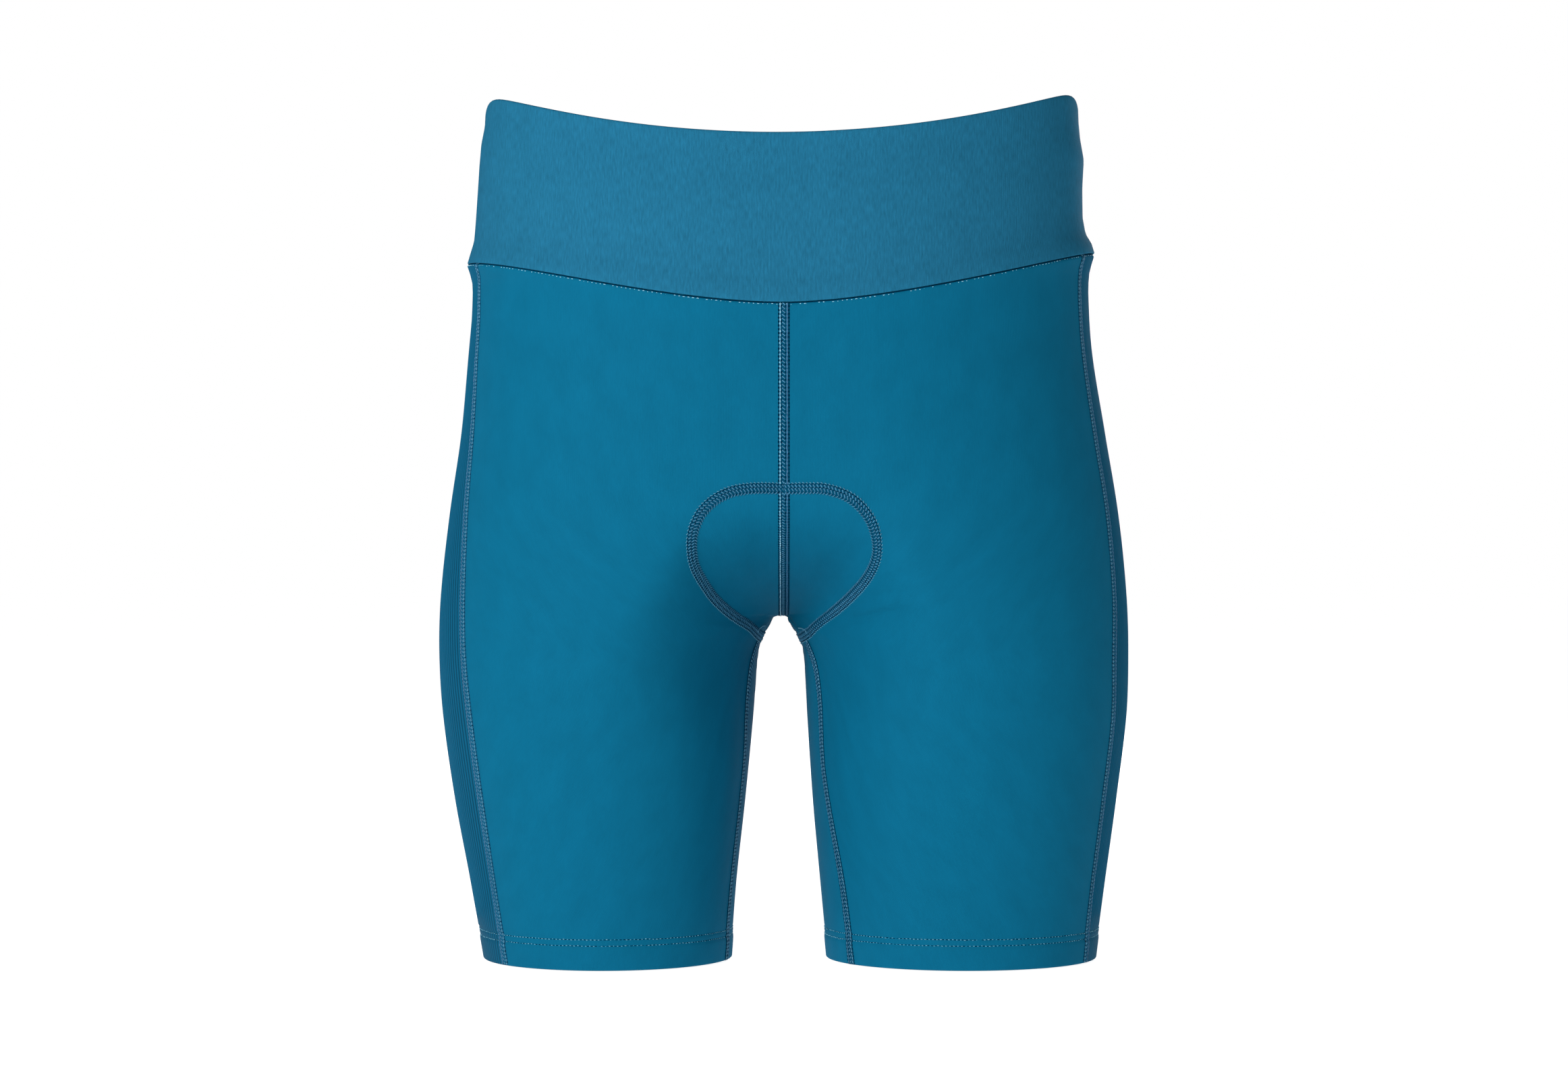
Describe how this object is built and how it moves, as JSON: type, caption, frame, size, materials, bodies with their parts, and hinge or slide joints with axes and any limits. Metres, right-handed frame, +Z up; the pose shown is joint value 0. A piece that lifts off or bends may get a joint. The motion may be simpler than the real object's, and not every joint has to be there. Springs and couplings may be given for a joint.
{
  "type": "cycling shorts",
  "caption": "Close-fitting cycling shorts with a wide waistband, flat-seamed panels, ribbed side panels and folded hems, filled out as when worn.",
  "frame": {"origin": "middle of the waist opening, inside the waistband, 12.5 mm below the rim at the centre front", "axes": "+Z up, the front faces -Y, +X is the wearer's left"},
  "size_m": [0.3655, 0.2318, 0.4512],
  "materials": {
    "panel_knit": "smooth stretch knit with a soft sheen",
    "rib_knit": "finely ribbed stretch knit",
    "band_knit": "brushed doubled stretch knit, matte"
  },
  "bodies": {
    "root": {"waistband_front": "band_knit", "waistband_back": "band_knit", "front_left": "panel_knit", "front_right": "panel_knit", "side_left": "rib_knit", "side_right": "rib_knit", "back_left": "panel_knit", "back_right": "panel_knit"}
  },
  "joints": []
}
